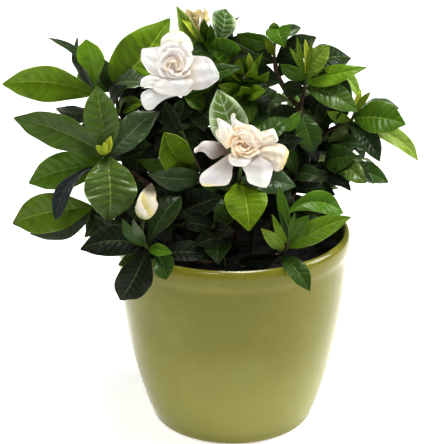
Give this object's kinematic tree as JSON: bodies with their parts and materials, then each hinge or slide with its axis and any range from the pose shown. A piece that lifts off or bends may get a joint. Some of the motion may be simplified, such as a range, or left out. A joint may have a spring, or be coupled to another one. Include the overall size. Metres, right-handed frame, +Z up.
{
  "type": "potted gardenia",
  "caption": "Young evergreen flowering shrub with glossy leaves, open white blooms and a bud, rooted in a round glazed pot that stands on a flat foot.",
  "frame": {"origin": "middle of the pot's flat foot, on the surface that it stands on", "axes": "+Z up, +X to the right and -Y towards the viewer, as the picture shows the plant"},
  "size_m": [0.3036, 0.2231, 0.3296],
  "materials": {
    "glaze": "glossy olive-green glaze",
    "soil": "moist dark potting soil",
    "bark": "brown bark, fissured",
    "leaf": "glossy evergreen leaf",
    "petal": "matt velvety petal, white to cream",
    "bud": "satin cream bud",
    "spent": "dry tan petal"
  },
  "bodies": {
    "root": {"pot": "glaze", "soil": "soil", "woody-stem-right": "bark", "woody-stem-left": "bark", "woody-stem-centre": "bark", "woody-stem-front": "bark", "shoot-upper-left": "leaf", "shoot-behind-bloom": "leaf", "shoot-left": "leaf", "shoot-lower-left": "leaf", "shoot-front-left": "leaf", "shoot-centre-left": "leaf", "shoot-lower-bloom": "leaf", "shoot-upper-bloom": "leaf", "shoot-top": "leaf", "shoot-upper-centre": "leaf", "shoot-top-right": "leaf", "shoot-right-upper": "leaf", "shoot-right": "leaf", "shoot-right-lower": "leaf", "shoot-right-middle": "leaf", "shoot-front-right": "leaf", "shoot-back-1": "leaf", "shoot-back-2": "leaf", "shoot-back-3": "leaf", "shoot-back-4": "leaf", "shoot-back-5": "leaf", "shoot-back-6": "leaf", "shoot-back-7": "leaf", "shoot-back-8": "leaf", "shoot-back-9": "leaf", "shoot-inner-1": "leaf", "shoot-inner-2": "leaf", "shoot-inner-3": "leaf", "shoot-inner-4": "leaf", "shoot-inner-5": "leaf", "bloom-lower": "petal", "bloom-upper": "petal", "bud": "bud", "spent-bloom": "spent"}
  },
  "joints": []
}
